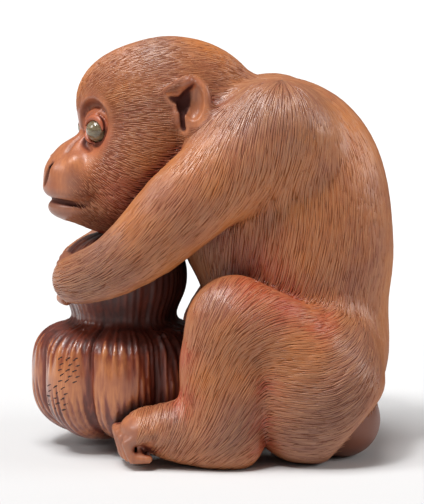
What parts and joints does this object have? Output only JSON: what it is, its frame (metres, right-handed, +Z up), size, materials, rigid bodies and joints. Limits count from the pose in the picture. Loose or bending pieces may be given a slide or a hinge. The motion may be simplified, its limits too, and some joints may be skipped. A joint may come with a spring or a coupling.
{
  "type": "okimono",
  "caption": "Carved wooden figurine of a young monkey sitting hunched and hugging a ribbed double gourd, with inlaid eyes.",
  "frame": {"origin": "on the ground, under the middle of the carving's box", "axes": "+Z up along its height; the monkey faces -Y, and its own left side is +X"},
  "size_m": [0.0445, 0.0529, 0.06],
  "materials": {
    "stained_boxwood": "polished, stained orange-brown, darker red in the hollows",
    "pale_horn": "polished pale olive horn"
  },
  "bodies": {
    "root": {"monkey_and_gourd": "stained_boxwood", "eye_left": "pale_horn", "eye_right": "pale_horn"}
  },
  "joints": []
}
